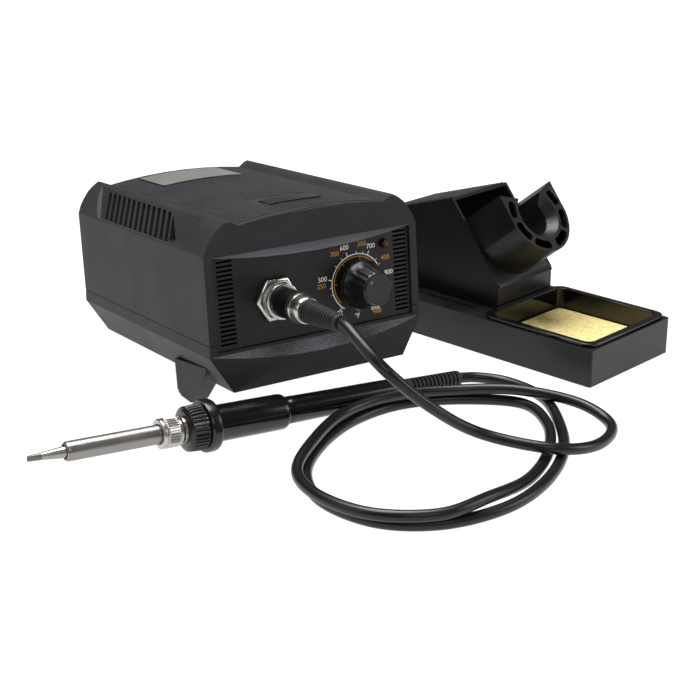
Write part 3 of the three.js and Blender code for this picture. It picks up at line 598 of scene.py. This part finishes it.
bmesh.ops.bevel(nut, geom=nut_edges, offset=0.18, segments=3, profile=0.5, affect="EDGES",
                material=-1)
bmesh.ops.recalc_face_normals(nut, faces=nut.faces)
set_in(nut, SOCKET_PLACE, "socket_nut_bevelled", nickel, "control_unit",
       ("socket_nut",), 50)

THREAD_PITCH = 0.7
thread = [(7.2, -9), (8.8, -9), (8.8, -8), (10.8, -8), (10.8, -3.8), (8.8, -3.8), (8.8, 1.2)]
for i in range(5):
    thread += [(8.8, 1.6 + THREAD_PITCH * i), (8.3, 1.95 + THREAD_PITCH * i)]
thread += [(8.6, 5), (7.2, 5), (7.2, -9)]
threads = turned(thread, 224)
flute(threads, count=56, depth=0.3, low=1.5, high=5.1)
set_in(threads, SOCKET_PLACE, "socket_threaded_shell", thread_steel, "control_unit",
       ("socket_shell",), 20)

coupling = turned([(7.35, 5.3), (8.7, 5.3), (9.0, 5.5), (9.05, 5.8), (9.05, 6.6), (8.85, 6.95),
                   (8.5, 7.1), (7.35, 7.1), (7.35, 5.3)], 96)
coupling_piece = set_in(coupling, SOCKET_PLACE, "coupling_ring_polished", nickel, "coupling_ring",
                        ("plug_coupling_ring",))
plug_barrel = turned([(0, 6.2), (5.6, 6.2), (5.6, 2.2), (6.7, 2.2), (6.7, 7.4), (7.3, 7.4),
                      (7.6, 7.7), (7.55, 9), (7.35, 12), (7.1, 16), (6.9, 19.6), (6.75, 20.5),
                      (6.4, 20.8), (0, 20.8)], 96)
barrel_piece = set_in(plug_barrel, SOCKET_PLACE, "plug_barrel", satin_black, "iron",
                      ("plug_body",))

clamp = turned([(0, 21.1), (6.9, 21.1), (7.3, 21.3), (7.45, 21.8), (7.4, 24.2), (7.2, 24.6),
                (7.1, 25.4), (6.7, 28), (6.45, 30.2), (6.1, 30.8), (5.8, 30.9), (0, 30.9)], 96)
clamp_piece = set_in(clamp, SOCKET_PLACE, "plug_clamp", nickel, "iron",
                     ("plug_clamp_shell",))

# The boot narrows evenly from the clamp to the cord, with a groove behind each rib.
BOOT_RIBS = 13
boot_profile = [(0, 31.2), (5.6, 31.2), (5.9, 31.5)]
for i in range(BOOT_RIBS):
    start = 32.4 + i * 1.95
    radius = 5.9 - 0.071 * (start - 31.2)
    boot_profile += [(radius, start), (radius - 0.05, start + 0.95), (radius - 0.75, start + 1.1),
                     (radius - 0.78, start + 1.75), (radius - 0.12, start + 1.9)]
boot_profile += [(3.85, 58.3), (3.8, 59.4), (3.5, 59.7), (0, 59.7)]
boot_piece = set_in(turned(boot_profile, 64), SOCKET_PLACE, "plug_boot_ribbed", soft_rubber, "iron",
                    ("plug_boot",), 40)

# ---- Soldering iron ----
# From the tip back: a plated chisel tip, a brushed steel sleeve held by a knurled nut, a black fluted
# nut and collar, a polished grip, a slim moulded handle and a grooved rubber strain relief.
tip_axis = -Vector(joints["sleeve_nut_turn"]["axis"]).normalized()
NUT_FROM_TIP = 68
IRON = along(tip_axis, Vector(joints["sleeve_nut_turn"]["pos_m"]) - tip_axis * NUT_FROM_TIP / 1000)
IRON_LENGTH = 234.5
# Brushed stainless: fine scratches spread the highlight into a soft grey band. Real scratches are
# about 0.05 mm apart and are drawn at 0.35 mm so that they show.
brushed = plated("brushed_stainless", "#8c8986", 0.32, 0.35, 0.012)
# Nickel over a rolled knurl: bright, broken into small glints.
knurled_steel = plated("knurled_nickel", "#b5b2ad", 0.26, 0.5, 0.01)
# Iron plate over copper: a plain mid grey, less bright than the nickel.
grey_plate = plated("iron_plated_tip", "#989591", 0.3, 0.8, 0.02)
# Used solder on the working end: darker and duller than the plate behind it.
tinned = plated("tinned_tip_end", "#6f6b67", 0.42, 0.7, 0.03)
# Fired alumina: a warm chalky white.
heater_white = moulded("white_ceramic", "#ddd9cf", "#e8e5dc", (0.5, 0.6), 0.6, 0.01)
# Polished plastic: black with long clear highlights along the handle.
gloss_grip = moulded("polished_black_grip", "#0a0a0b", "#0f0e10", (0.14, 0.22), 4.0, 0.012)

tip = turned([(0, 0.0), (1.15, 0.0), (1.3, 0.2), (1.45, 3), (1.62, 6.4), (1.95, 9), (2.45, 14),
              (2.8, 18), (3.25, 21.5), (3.3, 22.5), (3.3, 44), (2.5, 44), (2.5, 30), (0, 30)], 64)
# Two flats are ground from the end back to make the chisel.
FLATS_LONG, EDGE_HALF_THICK, FLATS_SLOPE = 8.5, 0.3, 0.19
for vert in tip.verts:
    if vert.co.z < FLATS_LONG:
        limit = EDGE_HALF_THICK + FLATS_SLOPE * vert.co.z
        vert.co.x = max(-limit, min(limit, vert.co.x))
tip_piece = set_in(tip, IRON, "chisel_tip", grey_plate, "tip_set", ("iron_tip",), 30)
tip_piece.data.materials.append(tinned)
TINNED_LONG = 6.2
working_end = (IRON @ Vector((0, 0, TINNED_LONG)) - IRON.translation).length
for polygon in tip_piece.data.polygons:
    if (polygon.center - IRON.translation).length < working_end:
        polygon.material_index = 1

sleeve = turned([(3.45, 17.35), (3.8, 17.35), (4.15, 17.55), (4.42, 18.0), (4.57, 18.7), (4.6, 19.6),
                 (4.6, 72.8), (3.6, 72.8), (3.6, 19), (3.45, 17.35)], 96)
set_in(sleeve, IRON, "sleeve_tube", brushed, "tip_set", ("iron_sleeve",))

nut_profile = [(4.95, 63), (6.5, 63), (6.95, 63.2), (7.1, 63.6), (7.1, 64.6), (6.9, 65.0),
               (6.7, 65.2), (7.1, 65.5)]
nut_profile += [(7.2, 65.9 + 0.6 * i) for i in range(10)]
nut_profile += [(7.1, 71.7), (6.7, 72.0), (6.0, 72.1), (6.0, 73.4), (4.95, 73.4), (4.95, 63)]
sleeve_nut = turned(nut_profile, 216)
flute(sleeve_nut, count=36, depth=0.4, low=65.7, high=71.5)
set_in(sleeve_nut, IRON, "sleeve_nut_knurled", knurled_steel, "sleeve_nut",
       ("iron_sleeve_nut",), 50)

black_nut = turned([
    (5.1, 75.7), (8.2, 75.7), (8.9, 75.85), (9.3, 76.2), (10.0, 76.35), (10.5, 76.7), (10.7, 77.2),
    (10.75, 77.8), (10.85, 79.5), (10.95, 81.5), (11.0, 83.4), (11.0, 84.2), (10.8, 84.5),
    (10.4, 84.6), (5.1, 84.6), (5.1, 75.7)], 240)
flute(black_nut, count=36, depth=0.62, low=77.1, high=84.4, sharpness=0.6)
set_in(black_nut, IRON, "black_nut_fluted", satin_black, "black_nut",
       ("iron_black_nut",), 40)

collar = turned([(5.2, 84.9), (11.6, 84.9), (12.2, 85.1), (12.55, 85.7), (12.6, 86.4), (12.6, 88.8),
                 (12.45, 89.8), (12.0, 90.6), (11.3, 91.0), (5.2, 91.0), (5.2, 84.9)], 96)
set_in(collar, IRON, "collar_moulded", satin_black, "iron", ("iron_collar",))
grip = turned([(6.1, 91.3), (8.3, 91.3), (8.75, 91.6), (8.75, 95), (8.72, 110), (8.7, 126.6),
               (8.55, 127.8), (8.1, 128.8), (7.6, 129.2), (6.1, 129.2), (6.1, 91.3)], 96)
set_in(grip, IRON, "grip_sleeve", gloss_grip, "iron", ("iron_grip",))
handle = turned([(0, 91.3), (5.8, 91.3), (5.8, 129.5), (6.6, 129.6), (6.75, 130), (6.7, 134),
                 (6.5, 150), (6.25, 180), (6.1, 196), (6.0, 198.4), (5.6, 199), (0, 199)], 96)
set_in(handle, IRON, "handle_tube", gloss_grip, "iron", ("iron_handle",))

RELIEF_SLOTS = 12
relief_profile = [(0, 199.3), (4.3, 199.3), (4.6, 199.6), (4.6, 201.6)]
for i in range(RELIEF_SLOTS):
    start = 202.2 + i * 2.45
    radius = 4.6 - 0.012 * (start - 199)
    relief_profile += [(radius, start), (radius, start + 1.2), (radius - 1.0, start + 1.35),
                       (radius - 1.0, start + 2.25), (radius, start + 2.4)]
relief_profile += [(4.15, 232.5), (4.1, IRON_LENGTH - 0.9), (3.8, IRON_LENGTH - 0.3),
                   (0, IRON_LENGTH - 0.3)]
set_in(turned(relief_profile, 64), IRON, "strain_relief_slotted", soft_rubber, "iron",
       ("iron_strain_relief",), 40)


def dress(nodes, material):
    """Gives nodes whose own shape is right their finish."""
    for node in nodes:
        data = frame["nodes"][node].data
        data.materials.clear()
        data.materials.append(material)


dress(["iron_heater"], heater_white)
dress(["iron_heater_bush"], knurled_steel)

# ---- Iron stand ----
# Moulded ABS: a long hollow base, a housing that plugs into it and a barrel with an open slot that
# holds the hot iron. Its rubber feet stop it sliding.
foot_left = sum((Vector(c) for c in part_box("stand_foot_front_left")), Vector()) / 2
foot_right = sum((Vector(c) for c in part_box("stand_foot_front_right")), Vector()) / 2
stand_right = foot_right - foot_left
stand_right.z = 0
stand_right.normalize()
stand_back = Vector((0, 0, 1)).cross(stand_right)
FOOT_INSET = 7.5
stand_corner = Vector((foot_left.x, foot_left.y, 0)) - (stand_right + stand_back) * FOOT_INSET / 1000
STAND = frame_from(stand_right, stand_back, Vector((0, 0, 1)), stand_corner)
# Satin ABS: black with broad soft reflections on the flat sides.
stand_abs = moulded("satin_black_abs", "#100f11", "#151416", (0.28, 0.4), 0.7, 0.02,
                    specular_ior_level=0.35)
# The housing and barrel come from another mould: darker, and a touch duller.
housing_abs = moulded("satin_holder_abs", "#0a090a", "#0f0e0f", (0.36, 0.46), 1.5, 0.02,
                      specular_ior_level=0.4)
softened("stand_base", stand_abs, 0.45, "stand")
softened("holder_housing", housing_abs, 0.45, "stand")
softened("holder_barrel", housing_abs, 0.5, "stand")
# The tray is polished so that it wipes clean, and mirrors the sponge in its walls.
tray_gloss = moulded("polished_tray_abs", "#080808", "#0c0b0c", (0.07, 0.14), 3.0, 0.01)
softened("sponge_tray", tray_gloss, 0.5, "sponge_tray")

# Low ribs run across the housing's sloping cover, moulded with it.
COVER_RIBS = 17
COVER_MIDDLE_X, COVER_RIB_LONG, COVER_RIB_WIDE, COVER_RIB_THICK = 42.1, 45.6, 1.1, 1.0
cover_front, cover_back = Vector((0, 111.6, 77.45)), Vector((0, 160.6, 61.95))
cover_slope = atan2(cover_back.z - cover_front.z, cover_back.y - cover_front.y)
cover_ribs = bmesh.new()
cover_rib_size = Matrix.Diagonal((COVER_RIB_LONG, COVER_RIB_WIDE, COVER_RIB_THICK, 1))
for i in range(COVER_RIBS):
    spot = cover_front.lerp(cover_back, i / (COVER_RIBS - 1))
    sloped = (Matrix.Translation((COVER_MIDDLE_X, spot.y, spot.z))
              @ Matrix.Rotation(cover_slope, 4, "X"))
    bmesh.ops.create_cube(cover_ribs, size=1, matrix=sloped @ cover_rib_size)
bmesh.ops.bevel(cover_ribs, geom=cover_ribs.edges[:], offset=0.15, segments=2, profile=0.5,
                affect="EDGES", material=-1)
bmesh.ops.transform(cover_ribs, matrix=STAND, verts=cover_ribs.verts)
keep("cover_ribs", cover_ribs, stand_abs, "stand")
dress(["stand_foot_front_left", "stand_foot_front_right", "stand_foot_rear_left",
       "stand_foot_rear_right", "leg_pad_left", "leg_pad_right", "rear_pad_left", "rear_pad_right"],
      soft_rubber)

# ---- Cleaning sponge ----
# A slab of cellulose sponge, cut with rounded corners and pressed flat. It lies loose in its tray and
# is used damp.
SPONGE_LOW, SPONGE_HIGH = 5.9, 11.6
SPONGE_WIDE, SPONGE_LONG = 60.2, 63.2
SPONGE_MIDDLE = (37, 38, (SPONGE_LOW + SPONGE_HIGH) / 2)
SPONGE_CORNER, SPONGE_EDGE = 3, 0.7
sponge_bm = bmesh.new()
sponge_size = Matrix.Diagonal((SPONGE_WIDE, SPONGE_LONG, SPONGE_HIGH - SPONGE_LOW, 1))
bmesh.ops.create_cube(sponge_bm, size=1, matrix=Matrix.Translation(SPONGE_MIDDLE) @ sponge_size)
corners = [e for e in sponge_bm.edges if abs((e.verts[0].co - e.verts[1].co).z) > 1]
bmesh.ops.bevel(sponge_bm, geom=corners, offset=SPONGE_CORNER, segments=5, profile=0.5,
                affect="EDGES", material=-1)
rims = [e for e in sponge_bm.edges if e.calc_face_angle(0) > 0.8]
bmesh.ops.bevel(sponge_bm, geom=rims, offset=SPONGE_EDGE, segments=3, profile=0.5,
                affect="EDGES", material=-1)
bmesh.ops.transform(sponge_bm, matrix=STAND, verts=sponge_bm.verts)
# Damp cellulose: pale yellow with ochre specks and fine open pores that leave no shine. Real pores
# are about 0.5 mm across and are drawn at 1.4 to 1.6 mm so that they show.
PORE_MM, SPECK_MM = 1.4, 1.6
sponge_mat, sponge_tree, sponge_shader = new_material("damp_cellulose", "#dccb8d", 0.9)
sponge_place = add(sponge_tree, "ShaderNodeTexCoord").outputs["Object"]
pores = add(sponge_tree, "ShaderNodeTexVoronoi", {"Scale": 1000 / PORE_MM},
            {"Vector": sponge_place})
cells = add(sponge_tree, "ShaderNodeTexNoise",
            {"Scale": 1000 / SPECK_MM, "Detail": 3, "Roughness": 0.6}, {"Vector": sponge_place})
pore_tone = add(sponge_tree, "ShaderNodeValToRGB", {}, {"Fac": cells.outputs["Fac"]})
pore_tone.color_ramp.elements[0].position = 0.34
pore_tone.color_ramp.elements[0].color = linear("#c9a750")
pore_tone.color_ramp.elements[1].position = 0.5
pore_tone.color_ramp.elements[1].color = linear("#e6d596")
pore_mix = add(sponge_tree, "ShaderNodeMath", {"operation": "MULTIPLY"},
               {0: pores.outputs["Distance"], 1: cells.outputs["Fac"]})
pore_relief = add(sponge_tree, "ShaderNodeBump", {"Distance": 0.0009, "Strength": 1.0},
                  {"Height": pore_mix.outputs["Value"]})
sponge_tree.links.new(pore_tone.outputs["Color"], sponge_shader.inputs["Base Color"])
sponge_tree.links.new(pore_relief.outputs["Normal"], sponge_shader.inputs["Normal"])
sponge = keep("sponge_slab", sponge_bm, sponge_mat, "sponge", 60, ("cleaning_sponge",))

# ---- Labels, back fittings and inner parts ----
# A grey film rating label and a blank glossy badge on top; at the back a mains inlet with its fuse
# drawer and a rocker switch; inside, the board, the transformer and the potentiometer.
# Printed polyester film: an even mid grey with a faint sheen.
film = moulded("grey_polyester_film", "#686663", "#716f6b", (0.35, 0.45), 1.5, 0.004)
dress(["rating_label"], film)
dress(["top_badge"], gloss_knob)
dress(["unit_rear_panel"], panel_black)
dress(["mains_inlet", "fuse_drawer", "power_switch_frame", "socket_insert"], satin_black)
dress(["power_rocker"], gloss_knob)
# Zinc-plated steel that has dulled: grey with a wide haze.
case_zinc = plated("dull_zinc", "#8f8c88", 0.36, 0.5, 0.02)
dress(["case_screw_1", "case_screw_2", "case_screw_3", "case_screw_4", "potentiometer_shaft",
       "potentiometer_body"], case_zinc)
# Glass laminate under solder mask: deep green and half glossy.
laminate = moulded("green_laminate", "#17472b", "#1f5a35", (0.35, 0.5), 1.0, 0.01)
dress(["circuit_board"], laminate)
# Stamped sheets under varnish: dark dull steel.
lamination = plated("varnished_laminations", "#6f6b66", 0.45, 0.5, 0.05)
dress(["transformer_core"], lamination)
# Enamelled wire, wound in layers: a warm reddish brown gloss.
copper = moulded("enamelled_copper", "#9c5c34", "#b87445", (0.3, 0.4), 0.4, 0.05, metallic=0.8)
dress(["transformer_coil"], copper)
